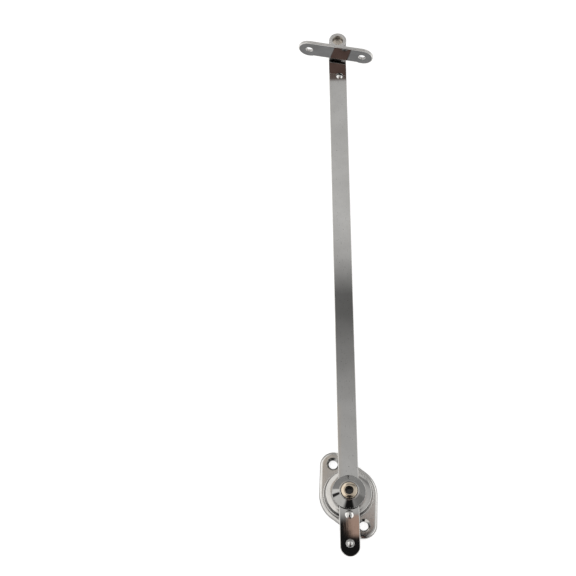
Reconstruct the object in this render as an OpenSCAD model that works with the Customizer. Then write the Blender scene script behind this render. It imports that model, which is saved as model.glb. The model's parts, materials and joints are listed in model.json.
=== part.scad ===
// Adjustable friction stay, right hand: a flat bar slides through a brake drum that swivels on a
// two-hole base plate, and a two-hole bracket plate swivels on a stud at the bar's far end.
// Frame: origin on the drum's axis at the back face of the base plate, +Z out of the base
// plate, +Y along the bar towards the bracket, +X across the bar. Millimetres.

/* [Stay bar] */
// Width of the bar
bar_w = 12; // [10:0.5:12]
// Thickness of the bar
bar_t = 2; // [1.5:0.1:2]
// Length of the bar behind the drum's axis, at rest
tail_len = 38.1; // [36:0.1:60]
// Distance from the drum's axis to the bracket stud, at rest
reach = 315; // [150:1:500]
// Distance from the bracket stud back to the head stop rivet
head_rivet_back = 21.2; // [20:0.1:30]
// Distance of the head stop rivet to the right of the bar's middle
head_rivet_x = 1.2; // [0:0.1:2]
// Distance from the drum's axis to the check rivet, at rest
check_rivet_y = 13.3; // [13:0.1:16]
// Distance from the drum's axis to the tail stop rivet, at rest
tail_rivet_y = 30.4; // [24:0.1:32]

/* [Base plate] */
// Distance between the two screw holes
base_pitch = 41.4; // [40:0.1:46]
// Turn of the hole line from +X
base_angle = 114.9; // [90:0.1:140]
// Diameter of the screw holes
base_hole_d = 5.4; // [4:0.1:5.6]
// Radius of the plate's middle
base_mid_r = 17.6; // [16.6:0.1:19]
// Radius of the plate's two ends
base_end_r = 8.4; // [7:0.1:9]
// Thickness of the plate
base_t = 3; // [2.8:0.1:3]

/* [Brake] */
// Radius of the drum
drum_r = 14.05; // [13.5:0.05:14.2]
// Radius of the cap's rim
cap_r = 10.15; // [9.8:0.05:10.4]
// Height of the cap above the drum's face
cap_h = 5.5; // [5.3:0.1:6]
// Radius of the adjusting screw
screw_r = 4.85; // [4.6:0.05:4.9]
// Width of the screw's square socket
socket_w = 4; // [3:0.5:5]
// Rise of the screw in one turn
screw_pitch = 0.75; // [0.5:0.05:0.8]

/* [Bracket] */
// Distance between the two bracket holes
plate_pitch = 36.8; // [34:0.1:42]
// Radius of the bracket plate's two ends
plate_end_r = 7.7; // [7:0.1:8]
// Thickness of the bracket plate
plate_t = 2; // [1.5:0.1:2.4]
// Diameter of the bracket holes
plate_hole_d = 4.5; // [4:0.1:5]
// Distance from the stud to the plate's front face
plate_front = 9; // [8.5:0.1:10]
// Turn of the bracket about the stud, at rest
bracket_turn = -10.5; // [-60:0.5:60]
// Outer radius of the knuckle
knuckle_r = 6; // [5:0.1:6]

/* [Hidden] */
$fn = 96;

run = 0.05;                            // running clearance of a journal or a sliding face
gap = 0.3;                             // between pieces that don't touch
eps = 0.01;                            // overshoot of a cutting tool

// Base plate: a lozenge with a low ring that the drum turns in
end_dist = base_pitch / 2 - 0.8;       // from the axis to the centre of a rounded end
csk_h = 1.3;                           // depth of a countersink, and its widening
ring_out = drum_r + 1.25;
ring_in = drum_r + gap;
ring_top = base_t + 0.8;
bush_in = 4 + run;                     // bore of the base bush
bush_out = 5;
recess_r = 8;                          // recess in the back, for the post's flange
recess_top = 1.7;
rear_washer_t = 0.5;
post_low = 0.3;                        // the post stays this clear of the mounting face

// Drum, from its skirt to its face
glide_t = 0.3;                         // thickness of the glide washer
skirt_z = base_t + glide_t + run;
skirt_in = drum_r - 1.65;
drum_edge = 0.8;                       // worn round of the drum's rim
disc_z = skirt_z + 0.55;               // underside of the drum's disc
face_z = 7.4;
pocket_r = 6.7;                        // pocket for the lower shoe
pocket_z = 4.9;
post_r = 4;

// Bar
bar_z = 6.2;
bar_top = bar_z + bar_t;
slot_w = bar_w + 0.4;                  // groove in the drum
slot_z = bar_z - gap;
rivet_r = 1.5;                         // shank of a stop rivet
head_rivet = [2.55, 1];                // radius and height of a rivet's head
check_rivet = [2.6, 0.7];
tail_rivet = [2.6, 1.5];
head_len = bar_w / 2;                  // bar beyond the stud

// Cap and what it holds
cap_top = face_z + cap_h;
cap_wall_h = 2.5;                      // upright part of the cap's wall
cap_neck_r = 5.75;                     // cap's radius at its top
window_w = bar_w + 0.5;
window_top = bar_top + 0.9;            // the check rivet passes under it, the stop rivets don't
shoe_r = 6.6;
shoe_top = bar_top + 1.6;
shoe_groove_w = 6.2;
thrust_r = 5.5;
thrust_t = 0.6;
spring_t = 0.5;                        // height of one disc spring
spring_sheet = 0.2;                    // thickness of its steel
spring_in = 2.4;
lift = screw_pitch;                    // the pad lifts this far in one turn of the screw
screw_z = shoe_top + thrust_t + 2 * spring_t;
screw_top = face_z + 6.6;
bush_z = 11.7;
bush_top = cap_top + 0.35;
tbush_out = cap_neck_r - 0.15;
cap_room = lift + 0.15;                // free height over the shoe and its disc
screw_bevel = 0.5;
pin_x = 8.25;
pin_r = 1.05;
pin_z = 4.6;
pin_top = 9.7;

// Bracket
stud_r = 2.5;
washer_t = 0.5;
knuckle_z = bar_top + washer_t + run;
knuckle_top = bar_top + 12;
counter_r = 3.7;                       // counterbore that holds the stud's head
counter_z = knuckle_top - 4.8;
stud_wave_t = 0.5;
stud_head_z = counter_z + 0.6;
stud_head_r = 3.5;
stud_head_t = 1.5;
stud_foot_r = 3.6;                     // peened end below the bar
stud_foot_t = 0.9;
plate_low = bar_top + 1.3;             // lowest point of the plate's ends
plate_mid_z = plate_low + plate_end_r;
plate_waist = 0.8;                     // the waist is cut this far above the ends
bush_wall = 0.6;
web_w = 8;                             // web between the plate and the knuckle
hole_bevel = 0.3;                      // mouth of a bracket hole

// ---------- shapes used more than once ----------

module ring(r_out, r_in, z0, z1) {
    translate([0, 0, z0]) difference() {
        cylinder(r = r_out, h = z1 - z0);
        translate([0, 0, -1]) cylinder(r = r_in, h = z1 - z0 + 2);
    }
}

// Outline of a disc of radius r_mid with two rounded ends at +-dist along X,
// joined by straight tangents
module lozenge(r_mid, r_end, dist) {
    cosb = (r_mid - r_end) / dist;
    sinb = sqrt(1 - cosb * cosb);
    circle(r = r_mid, $fn = 128);
    for (side = [0, 1]) mirror([side, 0]) {
        translate([dist, 0]) circle(r = r_end);
        polygon([[0, 0], [r_mid * cosb, r_mid * sinb],
                 [dist + r_end * cosb, r_end * sinb], [dist + r_end * cosb, -r_end * sinb],
                 [r_mid * cosb, -r_mid * sinb]]);
    }
}

// Domed rivet: a shank flush with the bar's underside and a head that is a slice of a sphere
module domed_rivet(x, y, head) {
    head_r = head[0];
    head_h = head[1];
    ball_r = (head_r * head_r + head_h * head_h) / (2 * head_h);
    translate([x, y, bar_z]) cylinder(r = rivet_r, h = bar_t);
    intersection() {
        translate([x, y, bar_top + head_h - ball_r]) sphere(r = ball_r);
        translate([x, y, bar_top]) cylinder(r = head_r + 1, h = head_h + 1);
    }
}

// Places a piece of the bracket: stud axis at the origin, front face towards -Y
module on_stud() {
    translate([0, reach, 0]) rotate(bracket_turn) children();
}

// ---------- base ----------

module base_plate() color("silver") difference() {
    union() {
        rotate(base_angle) linear_extrude(base_t) lozenge(base_mid_r, base_end_r, end_dist);
        cylinder(r = ring_out, h = ring_top, $fn = 128);
    }
    translate([0, 0, base_t]) cylinder(r = ring_in, h = 5, $fn = 128);
    translate([0, 0, -1]) cylinder(r = bush_out, h = 6);
    translate([0, 0, -1]) cylinder(r = recess_r, h = recess_top + 1);
    rotate(base_angle) for (side = [-1, 1]) translate([side * base_pitch / 2, 0, 0]) {
        translate([0, 0, -1]) cylinder(d = base_hole_d, h = base_t + 2);
        translate([0, 0, base_t - csk_h])
            cylinder(r1 = base_hole_d / 2, r2 = base_hole_d / 2 + csk_h + eps, h = csk_h + eps);
    }
}

module base_bush() color("goldenrod") ring(bush_out, bush_in, recess_top, base_t);

module glide_washer() color("white") ring(drum_r - gap, bush_out + gap, base_t, base_t + glide_t);

module rear_washer() color("gainsboro")
    ring(recess_r - gap, bush_in, recess_top - rear_washer_t, recess_top);

module pivot_post() color("darkgray") {
    translate([0, 0, post_low])
        cylinder(r = recess_r - 1.2, h = recess_top - rear_washer_t - run - post_low);
    translate([0, 0, post_low]) cylinder(r = post_r, h = pocket_z - post_low);
}

// ---------- brake ----------

module wave_washer() color("dimgray") ring(skirt_in - gap, recess_r, skirt_z + eps, disc_z);

module brake_drum() color("silver") difference() {
    rotate_extrude($fn = 128) polygon([
        [0, disc_z], [skirt_in, disc_z], [skirt_in, skirt_z], [drum_r, skirt_z],
        [drum_r, face_z - drum_edge], [drum_r - 0.3 * drum_edge, face_z - 0.3 * drum_edge],
        [drum_r - drum_edge, face_z], [0, face_z]]);
    translate([-slot_w / 2, -drum_r - 1, slot_z]) cube([slot_w, 2 * drum_r + 2, 5]);
    translate([0, 0, pocket_z]) cylinder(r = pocket_r, h = 5);
    cylinder(r = post_r, h = 10);
    for (side = [-1, 1]) translate([side * pin_x, 0, pin_z]) cylinder(r = pin_r, h = 5);
}

module lower_shoe() color("ivory") translate([0, 0, pocket_z])
    cylinder(r = pocket_r - 0.1, h = bar_z - run - pocket_z);

module upper_shoe() color("ivory") difference() {
    translate([0, 0, bar_top + run]) cylinder(r = shoe_r, h = shoe_top - bar_top - run);
    translate([-shoe_groove_w / 2, -10, bar_top - 1]) cube([shoe_groove_w, 20, 2]);
}

module thrust_disc() color("dimgray") translate([0, 0, shoe_top]) cylinder(r = thrust_r, h = thrust_t);

// Two disc springs laid rim to rim
module disc_springs() color("dimgray") {
    r_out = screw_r - gap;
    z0 = shoe_top + thrust_t;
    for (i = [0, 1]) translate([0, 0, z0 + 2 * spring_t * i]) mirror([0, 0, i])
        rotate_extrude() polygon([
            [spring_in, 0], [spring_in + 0.5, 0], [r_out, spring_t - spring_sheet], [r_out, spring_t],
            [r_out - 0.5, spring_t], [spring_in, spring_sheet]]);
}

module adjusting_screw() color("#c8ac80") difference() {
    rotate_extrude() polygon([
        [0, screw_z], [screw_r - screw_bevel, screw_z], [screw_r, screw_z + screw_bevel],
        [screw_r, screw_top - screw_bevel], [screw_r - screw_bevel, screw_top], [0, screw_top]]);
    translate([-socket_w / 2, -socket_w / 2, screw_z - 1]) cube([socket_w, socket_w, 5]);
}

module threaded_bush() color("silver") ring(tbush_out, screw_r + run, bush_z, bush_top);

module brake_cap() color("gray") difference() {
    rotate_extrude($fn = 128) polygon([
        [0, face_z], [cap_r - 0.1, face_z], [cap_r, face_z + 0.1], [cap_r, face_z + cap_wall_h - 0.3],
        [cap_r - 0.25, face_z + cap_wall_h], [cap_neck_r, cap_top], [0, cap_top]]);
    cylinder(r = shoe_r + 0.15, h = shoe_top + cap_room);
    cylinder(r = thrust_r + 0.2, h = shoe_top + thrust_t + cap_room);
    cylinder(r = screw_r + 0.1, h = 30);
    translate([0, 0, bush_z]) cylinder(r = tbush_out, h = 10);
    translate([-window_w / 2, -20, face_z - 1]) cube([window_w, 40, window_top - face_z + 1]);
    for (side = [-1, 1]) translate([side * pin_x, 0, pin_z]) cylinder(r = pin_r, h = pin_top - pin_z);
}

module cap_pins() color("dimgray") for (side = [-1, 1])
    translate([side * pin_x, 0, pin_z]) cylinder(r = pin_r, h = pin_top - pin_z);

// ---------- bar ----------

module stay_bar() color("silver") difference() {
    union() {
        translate([-bar_w / 2, bar_w / 2 - tail_len, bar_z])
            cube([bar_w, reach + tail_len - bar_w / 2, bar_t]);
        translate([0, bar_w / 2 - tail_len, bar_z]) cylinder(r = bar_w / 2, h = bar_t);
        translate([0, reach, bar_z]) cylinder(r = head_len, h = bar_t);
    }
    translate([head_rivet_x, reach - head_rivet_back, 0]) cylinder(r = rivet_r, h = 20);
    for (y = [-check_rivet_y, -tail_rivet_y]) translate([0, y, 0]) cylinder(r = rivet_r, h = 20);
    translate([0, reach, 0]) cylinder(r = stud_r, h = 20);
}

module head_rivet() color("whitesmoke")
    domed_rivet(head_rivet_x, reach - head_rivet_back, head_rivet);

module check_rivet() color("whitesmoke") domed_rivet(0, -check_rivet_y, check_rivet);

module tail_rivet() color("whitesmoke") domed_rivet(0, -tail_rivet_y, tail_rivet);

// Stud: peened below the bar, with a flat head sunk in the knuckle
module pivot_stud() color("#a89888") translate([0, reach, 0]) {
    rotate_extrude() polygon([
        [0, bar_z - washer_t - stud_foot_t], [stud_foot_r - 1, bar_z - washer_t - stud_foot_t],
        [stud_foot_r, bar_z - washer_t], [stud_r, bar_z - washer_t], [stud_r, stud_head_z],
        [stud_head_r, stud_head_z], [stud_head_r, stud_head_z + stud_head_t - 0.3],
        [stud_head_r - 0.3, stud_head_z + stud_head_t], [0, stud_head_z + stud_head_t]]);
}

module stud_washer() color("gainsboro") translate([0, reach, 0])
    ring(4.5, stud_r, bar_z - washer_t, bar_z);

module thrust_washer() color("dimgray") translate([0, reach, 0])
    ring(knuckle_r - 0.2, stud_r, bar_top, bar_top + washer_t);

module stud_wave_washer() color("dimgray") translate([0, reach, 0])
    ring(stud_head_r - 0.2, stud_r, stud_head_z - stud_wave_t, stud_head_z);

// ---------- bracket ----------

module bracket_plate() color("silver") on_stud() difference() {
    union() {
        translate([0, -plate_front + plate_t, plate_mid_z]) rotate([90, 0, 0]) linear_extrude(plate_t) {
            for (side = [-1, 1]) translate([side * plate_pitch / 2, 0]) circle(r = plate_end_r);
            translate([-plate_pitch / 2, plate_waist - plate_end_r])
                square([plate_pitch, 2 * plate_end_r - plate_waist]);
        }
        translate([0, 0, knuckle_z]) cylinder(r = knuckle_r, h = knuckle_top - knuckle_z);
        translate([-web_w / 2, -plate_front + plate_t - eps, plate_low + plate_waist])
            cube([web_w, plate_front - plate_t, knuckle_top - plate_low - plate_waist - 1]);
    }
    cylinder(r = stud_r + run + bush_wall, h = 60);
    translate([0, 0, counter_z]) cylinder(r = counter_r, h = 20);
    for (side = [-1, 1]) translate([side * plate_pitch / 2, 0, plate_mid_z]) rotate([90, 0, 0]) {
        cylinder(d = plate_hole_d, h = 20);
        translate([0, 0, plate_front - hole_bevel])
            cylinder(r1 = plate_hole_d / 2, r2 = plate_hole_d / 2 + hole_bevel + eps, h = hole_bevel + eps);
    }
}

module knuckle_bush() color("goldenrod") translate([0, reach, 0])
    ring(stud_r + run + bush_wall, stud_r + run, knuckle_z, counter_z);

base_plate();
base_bush();
glide_washer();
rear_washer();
pivot_post();
wave_washer();
brake_drum();
lower_shoe();
upper_shoe();
thrust_disc();
disc_springs();
adjusting_screw();
threaded_bush();
brake_cap();
cap_pins();
stay_bar();
head_rivet();
check_rivet();
tail_rivet();
pivot_stud();
stud_washer();
thrust_washer();
stud_wave_washer();
bracket_plate();
knuckle_bush();
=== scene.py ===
import json
import math

import bmesh
import bpy
from mathutils import Matrix, Vector

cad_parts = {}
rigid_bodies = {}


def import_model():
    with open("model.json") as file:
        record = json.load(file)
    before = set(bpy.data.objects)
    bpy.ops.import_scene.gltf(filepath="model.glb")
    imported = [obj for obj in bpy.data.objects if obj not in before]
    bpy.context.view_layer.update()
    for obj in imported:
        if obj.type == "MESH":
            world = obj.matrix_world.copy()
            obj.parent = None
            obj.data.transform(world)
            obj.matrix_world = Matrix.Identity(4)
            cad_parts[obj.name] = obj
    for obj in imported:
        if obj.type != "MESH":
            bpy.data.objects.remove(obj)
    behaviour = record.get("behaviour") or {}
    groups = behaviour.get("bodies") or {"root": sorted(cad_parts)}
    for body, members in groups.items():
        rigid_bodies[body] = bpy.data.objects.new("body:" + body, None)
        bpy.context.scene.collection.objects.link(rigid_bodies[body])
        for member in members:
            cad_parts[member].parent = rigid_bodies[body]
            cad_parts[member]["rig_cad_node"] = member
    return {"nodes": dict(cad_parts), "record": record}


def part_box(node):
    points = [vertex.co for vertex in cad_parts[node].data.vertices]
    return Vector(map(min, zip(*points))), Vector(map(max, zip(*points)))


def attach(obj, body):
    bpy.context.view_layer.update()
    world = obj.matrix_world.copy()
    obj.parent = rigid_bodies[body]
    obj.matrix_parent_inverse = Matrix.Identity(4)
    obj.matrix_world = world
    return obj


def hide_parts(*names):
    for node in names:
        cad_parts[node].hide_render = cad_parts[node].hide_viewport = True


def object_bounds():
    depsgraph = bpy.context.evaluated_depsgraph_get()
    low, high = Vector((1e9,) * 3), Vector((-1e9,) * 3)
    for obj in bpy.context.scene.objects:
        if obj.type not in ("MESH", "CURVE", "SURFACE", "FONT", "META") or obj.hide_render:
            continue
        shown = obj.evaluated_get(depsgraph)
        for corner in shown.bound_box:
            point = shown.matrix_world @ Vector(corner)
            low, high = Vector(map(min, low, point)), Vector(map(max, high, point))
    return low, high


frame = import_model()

CAD_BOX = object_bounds()
MM = 0.001


# ---------------------------------------------------------------- places, from the frame

def size_of(node):
    """Lowest corner, highest corner, centre and size of a CAD node at rest, in metres."""
    low, high = (Vector(v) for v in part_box(node))
    return low, high, (low + high) / 2, high - low


RECORD = frame["record"]
JOINTS = {joint["name"]: joint for joint in RECORD["behaviour"]["joints"]}
MOUNTS = {mount["name"]: mount for mount in RECORD["mounts"]}
STUD = Vector(JOINTS["bracket_swivel"]["pos_m"]) * Vector((1, 1, 0))
FRONT = Vector(MOUNTS["bracket_face"]["axis"])                  # out of the bracket's front face
BRACKET_TURN = math.atan2(FRONT.x, -FRONT.y)
STUD_R = 2.5 * MM                                               # radius of the stud's shank
BASE_TURN = math.radians(114.9)                                 # of the base plate's hole line, from +X

BAR_LOW, BAR_HIGH, _, BAR_SIZE = size_of("stay_bar")
BAR_TOP = BAR_HIGH.z
DRUM_LOW, DRUM_HIGH, _, DRUM_SIZE = size_of("brake_drum")
CAP_LOW, CAP_HIGH, _, CAP_SIZE = size_of("brake_cap")
BUSH_LOW, BUSH_HIGH, _, BUSH_SIZE = size_of("threaded_bush")
SCREW_LOW, SCREW_HIGH, _, SCREW_SIZE = size_of("adjusting_screw")


# ---------------------------------------------------------------- mesh helpers

def raw_object(bm):
    """An object made from a bmesh, with its faces turned outwards."""
    bmesh.ops.recalc_face_normals(bm, faces=bm.faces)
    mesh = bpy.data.meshes.new("raw")
    bm.to_mesh(mesh)
    bm.free()
    obj = bpy.data.objects.new("raw", mesh)
    bpy.context.collection.objects.link(obj)
    return obj


def piece(name, obj, *materials, smooth_angle=35):
    """Names and finishes an object: smooth up to smooth_angle, with its flats kept flat."""
    obj.name = obj.data.name = name
    for material in materials:
        obj.data.materials.append(material)
    obj.data.shade_smooth()
    obj.data.set_sharp_from_angle(angle=math.radians(smooth_angle))
    weighted = obj.modifiers.new("flat_faces", "WEIGHTED_NORMAL")
    weighted.mode = "FACE_AREA"
    weighted.weight = 100
    weighted.keep_sharp = True
    return obj


def boolean(obj, other, operation):
    """Joins other to obj, or cuts it out, and removes other."""
    tool = obj.modifiers.new("boolean", "BOOLEAN")
    tool.operation, tool.solver, tool.object = operation, "EXACT", other
    shown = obj.evaluated_get(bpy.context.evaluated_depsgraph_get())
    mesh = bpy.data.meshes.new_from_object(shown)
    obj.modifiers.clear()
    obj.data = mesh
    bpy.data.objects.remove(other)
    return obj


def shade_by_facing(obj, limit, undercut=-1):
    """Paints shade by which way faces look: gives faces steeper than limit, which is their normal's Z, the
    second material.

    Those whose normal's Y is below undercut keep the first."""
    for face in obj.data.polygons:
        face.material_index = int(abs(face.normal.z) < limit and face.normal.y > undercut)
    return obj


def block(low, high):
    """A box between two corners."""
    bm = bmesh.new()
    bmesh.ops.create_cube(bm, size=1)
    for vert in bm.verts:
        vert.co = [lo + (c + 0.5) * (hi - lo) for c, lo, hi in zip(vert.co, low, high)]
    return raw_object(bm)


def lathe(profile, centre=(0, 0), steps=160):
    """Turns a closed profile of (radius, height) points, in metres, about a vertical axis."""
    bm = bmesh.new()
    rings = []
    for radius, height in profile:
        if radius < 1e-7:
            rings.append([bm.verts.new((centre[0], centre[1], height))])
            continue
        rings.append([bm.verts.new((centre[0] + radius * math.cos(2 * math.pi * i / steps),
                                    centre[1] + radius * math.sin(2 * math.pi * i / steps), height))
                      for i in range(steps)])
    for ring, after in zip(rings, rings[1:] + rings[:1]):
        if len(ring) == 1 and len(after) == 1:
            continue
        for i in range(steps):
            j = (i + 1) % steps
            corners = [ring[i % len(ring)], ring[j % len(ring)], after[j % len(after)], after[i % len(after)]]
            bm.faces.new(list(dict.fromkeys(corners)))
    return raw_object(bm)


def fillet(corner, before, after, radius, steps=5):
    """Points of a round of the given radius at a corner of a profile."""
    corner, before, after = Vector(corner), Vector(before), Vector(after)
    u, v = (before - corner).normalized(), (after - corner).normalized()
    half = u.angle(v) / 2
    centre = corner + (u + v).normalized() * radius / math.sin(half)
    start = corner + u * radius / math.tan(half) - centre
    end = corner + v * radius / math.tan(half) - centre
    turn = start.angle_signed(end)
    return [tuple(centre + Matrix.Rotation(-turn * i / steps, 2) @ start) for i in range(steps + 1)]


def rounded(points, radii, steps=5):
    """A closed profile with each corner rounded by its radius, where 0 leaves it sharp."""
    out = []
    for i, radius in enumerate(radii):
        if radius:
            out += fillet(points[i], points[i - 1], points[(i + 1) % len(points)], radius, steps)
        else:
            out.append(tuple(points[i]))
    return out


def arc(centre, radius, start, end, steps):
    """Points on an arc, with angles in radians."""
    return [Vector((centre[0] + radius * math.cos(start + (end - start) * i / steps),
                    centre[1] + radius * math.sin(start + (end - start) * i / steps)))
            for i in range(steps + 1)]


def outward(points):
    """Unit normals that point out of a closed outline that runs anticlockwise."""
    normals = []
    for i in range(len(points)):
        along = (points[(i + 1) % len(points)] - points[i - 1]).normalized()
        normals.append(Vector((along.y, -along.x)))
    return normals


def skin(bm, rings):
    """Faces between each ring of vertices and the next."""
    for ring, after in zip(rings, rings[1:]):
        for i in range(len(ring)):
            j = (i + 1) % len(ring)
            bm.faces.new((ring[i], ring[j], after[j], after[i]))


def slab(outline, holes, low, high, edge_low, edge_high, steps=7):
    """A plate between two heights whose outer edges are quarter rounds of (width, height).

    outline is anticlockwise. Each hole is (centre, radius, mouth at the low face, mouth at the
    high face, depth of the low mouth, depth of the high mouth)."""
    bm = bmesh.new()
    turns = [math.pi / 2 * i / steps for i in range(steps + 1)]
    levels = [(low + edge_low[1] * (1 - math.cos(a)), edge_low[0] * (1 - math.sin(a))) for a in turns]
    levels += [(high - edge_high[1] * (1 - math.cos(a)), edge_high[0] * (1 - math.sin(a)))
               for a in reversed(turns)]
    normals = outward(outline)
    stacks = [[[bm.verts.new((*(p - n * inset), z)) for p, n in zip(outline, normals)]
               for z, inset in levels]]
    for centre, radius, mouth_low, mouth_high, depth_low, depth_high in holes:
        circles = [(low, mouth_low), (low + depth_low, radius), (high - depth_high, radius),
                   (high, mouth_high)]
        stacks.append([[bm.verts.new((*p, z)) for p in arc(centre, r, 0, 2 * math.pi, 72)[:-1]]
                       for z, r in circles])
    for rings in stacks:
        skin(bm, rings)
    for end in (0, -1):
        edges = []
        for rings in stacks:
            ring = rings[end]
            edges += [bm.edges.get((ring[i - 1], ring[i])) for i in range(len(ring))]
        bmesh.ops.triangle_fill(bm, use_beauty=True, use_dissolve=False, edges=edges)
    return raw_object(bm)


# ---------------------------------------------------------------- materials

def node_material(name):
    material = bpy.data.materials.new(name)
    material.use_nodes = True
    tree = material.node_tree
    return material, tree.nodes, tree.links, tree.nodes["Principled BSDF"]


def object_point(nodes, links, stretch=(1, 1, 1)):
    """Object coordinates, stretched, so that a pattern lies in metres along the object."""
    where = nodes.new("ShaderNodeTexCoord")
    mapping = nodes.new("ShaderNodeMapping")
    mapping.inputs["Scale"].default_value = stretch
    links.new(where.outputs["Object"], mapping.inputs["Vector"])
    return mapping.outputs["Vector"]


def noise(nodes, links, vector, scale, detail=3, roughness=0.55):
    texture = nodes.new("ShaderNodeTexNoise")
    texture.inputs["Scale"].default_value = scale
    texture.inputs["Detail"].default_value = detail
    texture.inputs["Roughness"].default_value = roughness
    links.new(vector, texture.inputs["Vector"])
    return texture.outputs["Fac"]


def ramp(nodes, links, value, stops):
    """Maps a value to colours, or to greys where a stop gives one number."""
    node = nodes.new("ShaderNodeValToRGB")
    elements = node.color_ramp.elements
    while len(elements) < len(stops):
        elements.new(0.5)
    for element, (place, *colour) in zip(elements, stops):
        element.position = place
        element.color = (*(colour if len(colour) == 3 else colour * 3), 1)
    links.new(value, node.inputs["Fac"])
    return node.outputs["Color"]


def paint(nodes, links, under, mask, over):
    """under, with over laid on it by mask; each is a socket or a colour."""
    node = nodes.new("ShaderNodeMix")
    node.data_type = "RGBA"
    links.new(mask, node.inputs["Factor"])
    for value, socket in ((under, node.inputs[6]), (over, node.inputs[7])):
        if isinstance(value, bpy.types.NodeSocket):
            links.new(value, socket)
        else:
            socket.default_value = (*value, 1)
    return node.outputs[2]


def metal(name, dark, light, smooth, rough, grain=(900, 900, 900), relief=0.02, mark=0.75):
    """Plated or machined metal: grain, patches of tone, an uneven polish, scratches and specks."""
    material, nodes, links, shader = node_material(name)
    shader.inputs["Metallic"].default_value = 1
    fine = noise(nodes, links, object_point(nodes, links, grain), 1, 4)
    broad = noise(nodes, links, object_point(nodes, links), 90, 3)
    scratch = noise(nodes, links, object_point(nodes, links, (3200, 160, 1600)), 1, 2, 0.7)
    speck = noise(nodes, links, object_point(nodes, links), 1500, 1, 0.3)
    scratches = ramp(nodes, links, scratch, [(0.66, 0.0), (0.72, 1.0)])
    specks = ramp(nodes, links, speck, [(0.74, 0.0), (0.79, 1.0)])
    colour = ramp(nodes, links, broad, [(0.3, *dark), (0.7, *light)])
    colour = paint(nodes, links, colour, specks, [tone * mark * 0.6 for tone in dark])
    colour = paint(nodes, links, colour, scratches, [tone * mark for tone in dark])
    links.new(colour, shader.inputs["Base Color"])
    polish = ramp(nodes, links, fine, [(0.3, smooth), (0.75, rough)])
    links.new(paint(nodes, links, polish, scratches, [rough * 1.6] * 3), shader.inputs["Roughness"])
    bump = nodes.new("ShaderNodeBump")
    bump.inputs["Strength"].default_value = relief
    bump.inputs["Distance"].default_value = 0.05 * MM
    links.new(fine, bump.inputs["Height"])
    links.new(bump.outputs["Normal"], shader.inputs["Normal"])
    return material


def plastic(name, dark, light, rough):
    """Moulded plastic: mottled tone, a faint grain and an uneven sheen."""
    material, nodes, links, shader = node_material(name)
    broad = noise(nodes, links, object_point(nodes, links), 400, 4)
    links.new(ramp(nodes, links, broad, [(0.3, *dark), (0.7, *light)]), shader.inputs["Base Color"])
    links.new(ramp(nodes, links, broad, [(0.3, rough), (0.7, rough + 0.1)]), shader.inputs["Roughness"])
    bump = nodes.new("ShaderNodeBump")
    bump.inputs["Strength"].default_value = 0.1
    bump.inputs["Distance"].default_value = 0.1 * MM
    links.new(broad, bump.inputs["Height"])
    links.new(bump.outputs["Normal"], shader.inputs["Normal"])
    return material


NICKEL = metal("polished_nickel", (0.62, 0.61, 0.59), (0.72, 0.71, 0.69), 0.05, 0.10)
CASTING = metal("plated_casting", (0.62, 0.61, 0.59), (0.76, 0.74, 0.71), 0.08, 0.15)
# Painted shade: a darkened copy of the plating, given to upright walls and bevels.
SHADE_WALLS = metal("painted_shade_walls", (0.22, 0.215, 0.21), (0.32, 0.31, 0.30), 0.12, 0.22)
BORE = metal("satin_casting", (0.66, 0.65, 0.63), (0.78, 0.76, 0.74), 0.38, 0.50)
# Painted shade: a darkened copy of the casting, given to the knuckle's outer walls and undersides.
SHADE_CASTING = metal("painted_shade_casting", (0.20, 0.195, 0.19), (0.30, 0.29, 0.28), 0.34, 0.46)
BRUSHED = metal("brushed_nickel", (0.64, 0.63, 0.61), (0.71, 0.70, 0.68), 0.010, 0.028,
                grain=(4500, 25, 4500), relief=0.02)
# Painted shade and painted dark reflection: a near-black copy of the nickel for walls in shade and for the
# bracket plate's flat faces.
PAINTED_DARK = metal("painted_dark_nickel", (0.12, 0.12, 0.12), (0.16, 0.16, 0.16), 0.05, 0.10)
BRASS = metal("turned_brass", (0.72, 0.60, 0.46), (0.99, 0.90, 0.76), 0.05, 0.12, relief=0.08)
STUD_STEEL = metal("stud_steel", (0.58, 0.52, 0.45), (0.74, 0.68, 0.60), 0.20, 0.32)
SPRING = metal("blackened_steel", (0.04, 0.04, 0.04), (0.09, 0.09, 0.09), 0.25, 0.40)
NYLON = plastic("natural_nylon", (0.72, 0.69, 0.60), (0.82, 0.79, 0.71), 0.40)


# ---------------------------------------------------------------- base

def tangent_outline(mid_r, end_r, dist, steps=28):
    """A disc with two rounded ends on X, joined by straight tangents, anticlockwise."""
    lean = math.acos((mid_r - end_r) / dist)
    right = arc((dist, 0), end_r, -lean, lean, steps)
    top = arc((0, 0), mid_r, lean, math.pi - lean, steps)
    left = arc((-dist, 0), end_r, math.pi - lean, math.pi + lean, steps)
    low = arc((0, 0), mid_r, math.pi + lean, 2 * math.pi - lean, steps)
    return right + top + left + low


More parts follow.
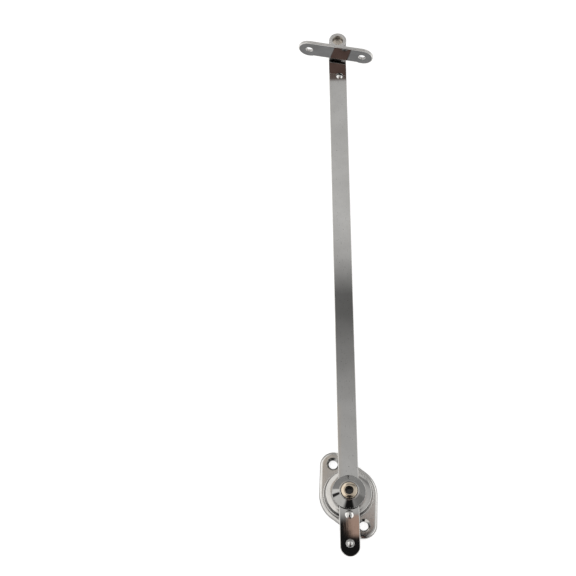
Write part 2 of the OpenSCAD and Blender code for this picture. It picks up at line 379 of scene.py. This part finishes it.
def base_plate():
    """Lozenge plate with soft edges, two countersunk holes, the drum's ring and the bush's floor."""
    low, high, _, _ = size_of("base_plate")
    pattern = MOUNTS["base_screws"]["dims"]
    pitch, hole_r = pattern["pcd_mm"] * MM, pattern["hole_r_mm"] * MM
    face, recess_r, recess_top, bush_r = low.z + 3 * MM, 8 * MM, low.z + 1.7 * MM, 5 * MM
    holes = [((side * pitch / 2, 0), hole_r, hole_r, hole_r + 1.3 * MM, 0.2 * MM, 1.3 * MM)
             for side in (-1, 1)]
    holes.append(((0, 0), recess_r, recess_r, recess_r, 0.2 * MM, 0.2 * MM))
    plate = slab(tangent_outline(17.6 * MM, 8.4 * MM, pitch / 2 - 0.8 * MM), holes, low.z, face,
                 (0.3 * MM, 0.3 * MM), (1.8 * MM, 1.1 * MM))
    plate.data.transform(Matrix.Rotation(BASE_TURN, 4, "Z"))
    ring_out, ring_in = DRUM_SIZE.x / 2 + 1.25 * MM, DRUM_SIZE.x / 2 + 0.3 * MM
    ring = lathe(rounded([(ring_in, face - MM), (ring_out, face - MM), (ring_out, high.z), (ring_in, high.z)],
                         [0, 0, 0.35 * MM, 0.2 * MM]))
    hub = lathe([(bush_r, recess_top), (recess_r + 0.5 * MM, recess_top), (recess_r + 0.5 * MM, face),
                 (bush_r, face)])
    boolean(plate, ring, "UNION")
    boolean(plate, hub, "UNION")
    # Painted shade: the plate's upright walls take the darkened copy of the plating, and the walls of the
    # drum's ring the near-black one.
    shade_by_facing(plate, 0.70)
    for side in plate.data.polygons:
        if side.material_index and side.center.z > face and side.center.xy.length < ring_out + 0.1 * MM:
            side.material_index = 2
    return piece("base_plate_shell", plate, CASTING, SHADE_WALLS, PAINTED_DARK)


# ---------------------------------------------------------------- brake

def drum():
    """Turned drum with a faintly crowned face, a rounded rim and the bar's groove across it."""
    r, low, face = DRUM_SIZE.x / 2, DRUM_LOW.z, DRUM_HIGH.z
    skirt, disc_z = r - 1.65 * MM, low + 0.55 * MM
    flat_r = CAP_SIZE.x / 2
    crown = [(flat_r + (r - 0.6 * MM - flat_r) * t, face - 0.30 * MM * t * t)
             for t in [i / 6 for i in range(1, 7)]]
    profile = [(0, disc_z), (skirt, disc_z), (skirt, low), (r - 0.15 * MM, low), (r, low + 0.15 * MM)]
    profile += [(r - 0.6 * MM * (1 - math.cos(a)), face - 0.90 * MM + 0.6 * MM * math.sin(a))
                for a in [math.pi / 2 * i / 6 for i in range(6)]]
    profile += crown[::-1] + [(flat_r, face), (0, face)]
    half = BAR_SIZE.x / 2 + 0.2 * MM
    body = lathe(profile)
    boolean(body, block((-half, -2 * r, BAR_LOW.z - 0.3 * MM), (half, 2 * r, face + 3 * MM)), "DIFFERENCE")
    # Painted shade: upright walls, the groove's sides among them, take the near-black copy of the nickel.
    return piece("drum_shell", shade_by_facing(body, 0.72), CASTING, PAINTED_DARK)


def cap():
    """Conical cap on an upright rim, with the bar's window through it."""
    r, low, top = CAP_SIZE.x / 2, CAP_LOW.z, CAP_HIGH.z
    inner, neck, shoulder = BUSH_SIZE.x / 2, BUSH_SIZE.x / 2 + 0.15 * MM, low + 2.4 * MM
    profile = rounded([(inner, low + 0.4 * MM), (r - 0.6 * MM, low + 0.4 * MM), (r - 0.35 * MM, low),
                       (r, low), (r, shoulder), (neck + 0.2 * MM, top), (inner, top)],
                      [0, 0, 0, 0.1 * MM, 0.5 * MM, 0.15 * MM, 0])
    half = BAR_SIZE.x / 2 + 0.25 * MM
    shell = lathe(profile)
    boolean(shell, block((-half, -2 * r, low - MM), (half, 2 * r, BAR_TOP + 0.9 * MM)), "DIFFERENCE")
    # Painted shade: the upright rim and the window's sides take the near-black copy of the nickel.
    return piece("cap_shell", shade_by_facing(shell, 0.6), NICKEL, PAINTED_DARK)


def threaded_bush():
    """Collar around the screw, with a lead-in bevel at its mouth."""
    low, top, outer, inner = BUSH_LOW.z, BUSH_HIGH.z, BUSH_SIZE.x / 2, SCREW_SIZE.x / 2 + 0.05 * MM
    collar = lathe(rounded([(inner, low), (outer, low), (outer, top), (inner + 0.35 * MM, top),
                            (inner, top - 0.7 * MM)], [0, 0, 0.12 * MM, 0, 0]))
    # Painted shade: the collar's walls and its lead-in bevel take the darkened copy of the plating.
    return piece("bush_collar", shade_by_facing(collar, 0.8), NICKEL, SHADE_WALLS)


def adjusting_screw():
    """Brass screw with a bevelled head and a square socket right through it."""
    r, low, top = SCREW_SIZE.x / 2, SCREW_LOW.z, SCREW_HIGH.z
    half = 2 * MM
    body = lathe(rounded([(0, low), (r, low), (r, top - 0.1 * MM), (3.2 * MM, top), (0, top)],
                         [0, 0.3 * MM, 0.35 * MM, 1.2 * MM, 0], 6))
    boolean(body, block((-half, -half, low - MM), (half, half, top + MM)), "DIFFERENCE")
    mouth = lathe([(0, top - 1.4 * MM), (half, top - 1.4 * MM), (half + 0.6 * MM, top + 0.05 * MM),
                   (0, top + 0.05 * MM)])
    boolean(body, mouth, "DIFFERENCE")
    return piece("brass_screw", body, BRASS)


# ---------------------------------------------------------------- bar

def stay_bar():
    """Flat bar with round ends and edges worn round by drawing and plating."""
    half = BAR_SIZE.x / 2
    outline = arc((0, BAR_LOW.y + half), half, math.pi, 2 * math.pi, 40)
    outline += arc((0, BAR_HIGH.y - half), half, 0, math.pi, 40)
    hole = (STUD.xy, STUD_R, STUD_R, STUD_R, 0.2 * MM, 0.2 * MM)
    edge = (0.4 * MM, 0.4 * MM)
    return piece("bar_strip", slab(outline, [hole], BAR_LOW.z, BAR_HIGH.z, edge, edge), BRUSHED)


def domed_head(node, name):
    """A stop rivet's head: a smooth dome that stands on the bar."""
    _, high, centre, size = size_of(node)
    r, top, foot = size.x / 2, high.z, BAR_TOP - 0.05 * MM
    rise = top - BAR_TOP
    ball = (r * r + rise * rise) / (2 * rise)
    reach = math.asin(min(1, r / ball))
    profile = [(ball * math.sin(reach * i / 16), top - ball + ball * math.cos(reach * i / 16))
               for i in range(17)]
    return piece(name, lathe(profile + [(r, foot), (0, foot)], centre.xy, 96), NICKEL, smooth_angle=50)


def pivot_stud():
    """Stud with a flat head inside the knuckle and a peened foot under the bar."""
    low, high, centre, _ = size_of("pivot_stud")
    top, head_r, head_low, foot_top = high.z, 3.5 * MM, high.z - 1.5 * MM, low.z + 0.9 * MM
    profile = rounded([(0, low.z), (2.6 * MM, low.z), (3.6 * MM, foot_top), (STUD_R, foot_top),
                       (STUD_R, head_low), (head_r, head_low), (head_r, top), (0, top)],
                      [0, 0.4 * MM, 0, 0, 0, 0.1 * MM, 0.5 * MM, 0])
    return piece("stud_rivet", lathe(profile, centre.xy, 96), STUD_STEEL)


# ---------------------------------------------------------------- bracket

def bracket_plate():
    """Two-hole plate: its flat faces, and the edges and hole walls that look downward, darkened as painted
    shade and painted dark reflection; the other edges and holes pale satin.
    """
    pattern = MOUNTS["bracket_screws"]["dims"]
    pitch, hole_r = pattern["pcd_mm"] * MM, pattern["hole_r_mm"] * MM
    mid_z = Vector(MOUNTS["bracket_face"]["pos_m"]).z
    end_r, front, thick, waist = 7.7 * MM, 9 * MM, 2 * MM, 0.8 * MM
    dip = math.acos((end_r - waist) / end_r)                     # from straight down to the waist's line
    outline = arc((pitch / 2, 0), end_r, -math.pi / 2 - dip, math.pi / 2, 48)
    outline += arc((-pitch / 2, 0), end_r, math.pi / 2, 1.5 * math.pi + dip, 48)
    holes = [((side * pitch / 2, 0), hole_r, hole_r + 0.2 * MM, hole_r + 0.3 * MM, 0.2 * MM, 0.3 * MM)
             for side in (-1, 1)]
    plate = slab(outline, holes, 0, thick, (0.5 * MM, 0.5 * MM), (0.7 * MM, 0.6 * MM))
    # Painted shade and painted dark reflection: the flat faces and the downward-looking edges keep the
    # near-black copy; the other edges and holes take the pale one.
    shade_by_facing(plate, 0.999, undercut=-0.3)
    plate.data.transform(Matrix.Translation(STUD) @ Matrix.Rotation(BRACKET_TURN, 4, "Z")
                         @ Matrix.Translation((0, thick - front, mid_z))
                         @ Matrix.Rotation(math.pi / 2, 4, "X"))
    return piece("bracket_casting", plate, PAINTED_DARK, BORE)


def knuckle():
    """Knuckle that turns on the stud, counterbored for its head, with a web to the plate."""
    outer, counter_r, bore_r = 6 * MM, 3.7 * MM, 3.15 * MM
    foot, top = BAR_TOP + 0.55 * MM, BAR_TOP + 12 * MM
    counter = top - 4.8 * MM
    body = lathe(rounded([(bore_r, foot), (outer, foot), (outer, top), (counter_r, top),
                          (counter_r, counter), (bore_r, counter)],
                         [0, 0.2 * MM, 0.45 * MM, 0.2 * MM, 0, 0]), steps=96)
    web = block((-4 * MM, -7.2 * MM, BAR_TOP + 2.2 * MM), (4 * MM, -4.6 * MM, top - 1.2 * MM))
    boolean(body, web, "UNION")
    # Painted shade: the outer walls and undersides take the darkened copy of the casting; the top,
    # counterbore and bore keep the pale one.
    for face in body.data.polygons:
        outside = face.center.xy.length > counter_r + 0.5 * MM
        face.material_index = int(outside and face.normal.z < 0.6)
    body.data.transform(Matrix.Translation(STUD) @ Matrix.Rotation(BRACKET_TURN, 4, "Z"))
    return piece("bracket_knuckle", body, BORE, SHADE_CASTING)


# ---------------------------------------------------------------- stage, light and camera

def floor():
    """A pale sheet, lit a little from below so that it stays white under the object."""
    bm = bmesh.new()
    bmesh.ops.create_grid(bm, x_segments=1, y_segments=1, size=4)
    material, _, _, shader = node_material("pale_floor")
    shader.inputs["Base Color"].default_value = (0.6, 0.6, 0.6, 1)
    shader.inputs["Roughness"].default_value = 0.9
    shader.inputs["Emission Color"].default_value = (1, 1, 1, 1)
    shader.inputs["Emission Strength"].default_value = 0.78
    obj = raw_object(bm)
    obj.name = "floor"
    obj.data.materials.append(material)
    obj.location.z = CAD_BOX[0][2] - 0.2 * MM


def camera():
    """Looks down on the brake from in front, as a 75 mm lens would."""
    data = bpy.data.cameras.new("camera")
    data.lens, data.sensor_width = 75, 36
    data.clip_start, data.clip_end = 0.01, 20
    obj = bpy.data.objects.new("camera", data)
    bpy.context.collection.objects.link(obj)
    tilt, turn = math.radians(23.6), math.radians(-0.33)
    obj.matrix_world = (Matrix.Translation((-0.0373, -0.1747, 0.7130)) @ Matrix.Rotation(turn, 4, "Z")
                        @ Matrix.Rotation(tilt, 4, "X"))
    bpy.context.scene.camera = obj


# The tent around the object: each panel is the range of directions it fills along X, Y and Z,
# how softly it fades at its edges, and its light.
PANELS = [
    ((-0.50, -0.03), (-0.30, 0.60), (0.70, 2), 0.06, (1.00, 0.99, 0.97)),      # left of overhead
    ((-2, -0.45), (-0.50, 0.55), (0.50, 0.82), 0.08, (1.4, 1.4, 1.4)),         # left softbox
    ((0.45, 2), (-0.45, 0.55), (0.52, 0.82), 0.08, (1.4, 1.4, 1.4)),           # right softbox
    ((-2, -0.35), (0.10, 0.38), (0.25, 0.48), 0.10, (0.80, 0.80, 0.79)),       # left side, low
    ((-2, -0.35), (-0.80, -0.12), (0.20, 0.62), 0.14, (0.66, 0.66, 0.65)),     # left front, low
    ((-2, -0.50), (-0.12, 0.09), (0.20, 0.50), 0.07, (0.03, 0.03, 0.03)),      # gap between those two
    ((0.42, 2), (-0.85, -0.10), (0.20, 0.50), 0.22, (0.19, 0.19, 0.19)),       # right front, low
    ((-0.28, 0.38), (-2, -0.40), (0.10, 0.85), 0.20, (0.01, 0.01, 0.01)),       # camera stand
    ((-0.26, 0.14), (-0.64, -0.49), (0.74, 0.90), 0.03, (0.66, 0.43, 0.37)),   # a warm card above it
    ((-0.10, 0.20), (-0.55, 0.06), (0.50, 2), 0.05, (0.01, 0.01, 0.01)),       # camera
    ((0.00, 0.10), (-0.10, 0.2210), (0.80, 2), 0.011, (0.01, 0.01, 0.01)),     # its front end
    ((0.0500, 0.11), (0.2105, 0.2215), (0.80, 2), 0.005, (0.46, 0.32, 0.26)),  # a warm card beside it
    ((0.0525, 0.11), (0.2060, 0.2215), (0.80, 2), 0.005, (0.46, 0.32, 0.26)),  # and its lower corner
    ((-0.08, 0.0400), (0.250, 0.310), (0.80, 2), 0.006, (0.52, 0.45, 0.38)),   # a warm card beyond it
    ((-0.08, 0.20), (0.5502, 0.62), (0.60, 2), 0.002, (0.13, 0.10, 0.09)),     # dark card over the bracket
]
OVERHEAD = [(0.222, 0.52), (0.276, 0.50), (0.309, 0.43), (0.340, 0.30), (0.362, 0.235), (0.378, 0.15),
            (0.396, 0.145), (0.424, 0.52), (0.450, 0.62), (0.545, 0.55), (0.70, 0.40), (0.85, 0.28)]


def studio():
    """A tent of pale, dark and warm panels, greyer overhead, that the polished faces mirror."""
    world = bpy.data.worlds.new("studio")
    bpy.context.scene.world = world
    world.use_nodes = True
    nodes, links = world.node_tree.nodes, world.node_tree.links
    where = nodes.new("ShaderNodeTexCoord")
    split = nodes.new("ShaderNodeSeparateXYZ")
    links.new(where.outputs["Generated"], split.inputs["Vector"])

    def edge(value, start, end):
        node = nodes.new("ShaderNodeMapRange")
        node.interpolation_type = "SMOOTHSTEP"
        node.inputs["From Min"].default_value, node.inputs["From Max"].default_value = start, end
        links.new(value, node.inputs["Value"])
        return node.outputs["Result"]

    def mask(ranges, soft):
        out = None
        for value, (low, high) in zip(split.outputs, ranges):
            for side in (edge(value, low - soft / 2, low + soft / 2),
                         edge(value, high + soft / 2, high - soft / 2)):
                if out is None:
                    out = side
                    continue
                product = nodes.new("ShaderNodeMath")
                product.operation = "MULTIPLY"
                links.new(out, product.inputs[0])
                links.new(side, product.inputs[1])
                out = product.outputs[0]
        return out

    colour = ramp(nodes, links, split.outputs["Z"], [(0.0, 0.9), (0.02, 0.28), (0.30, 0.30), (0.60, 0.42)])
    overhead = ramp(nodes, links, split.outputs["Y"], OVERHEAD)
    colour = paint(nodes, links, colour, mask(((-0.25, 0.35), (-0.5, 0.8), (0.62, 2)), 0.1), overhead)
    for *ranges, soft, light in PANELS:
        colour = paint(nodes, links, colour, mask(ranges, soft), light)
    links.new(colour, nodes["Background"].inputs["Color"])
    bpy.context.scene.view_settings.view_transform = "Standard"


# ---------------------------------------------------------------- build

for default in list(bpy.data.objects):
    if default.type in {"MESH", "LIGHT", "CAMERA"} and "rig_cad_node" not in default:
        bpy.data.objects.remove(default)

camera()
studio()
floor()

PIECES = [
    (base_plate(), "base", "base_plate", "plated_casting"),
    (drum(), "drum", "brake_drum", "plated_casting"),
    (cap(), "drum", "brake_cap", "plated_casting"),
    (threaded_bush(), "drum", "threaded_bush", "plated_casting"),
    (adjusting_screw(), "screw", "adjusting_screw", "brass"),
    (stay_bar(), "bar", "stay_bar", "nickel_bar"),
    (domed_head("head_rivet", "head_dome"), "bar", "head_rivet", "plated_casting"),
    (domed_head("check_rivet", "check_dome"), "bar", "check_rivet", "plated_casting"),
    (domed_head("tail_rivet", "tail_dome"), "bar", "tail_rivet", "plated_casting"),
    (pivot_stud(), "bar", "pivot_stud", "stud_steel"),
    (bracket_plate(), "bracket", "bracket_plate", "satin_plate"),
    (knuckle(), "bracket", "bracket_plate", "satin_plate"),
]
for part, body, node, slot in PIECES:
    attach(part, body)
    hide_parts(node)

# The satin_plate slot takes the near-black copy: painted shade and painted dark reflection.
SLOT_MATERIAL = {"nickel_bar": BRUSHED, "plated_casting": CASTING, "satin_plate": PAINTED_DARK, "brass": BRASS,
                 "spring_steel": SPRING, "nylon": NYLON, "stud_steel": STUD_STEEL}
for part in RECORD["subparts"]:
    if part["node"] in frame["nodes"]:
        for slot in frame["nodes"][part["node"]].material_slots:
            slot.material = SLOT_MATERIAL[part["material_slot"]]

bpy.context.view_layer.update()
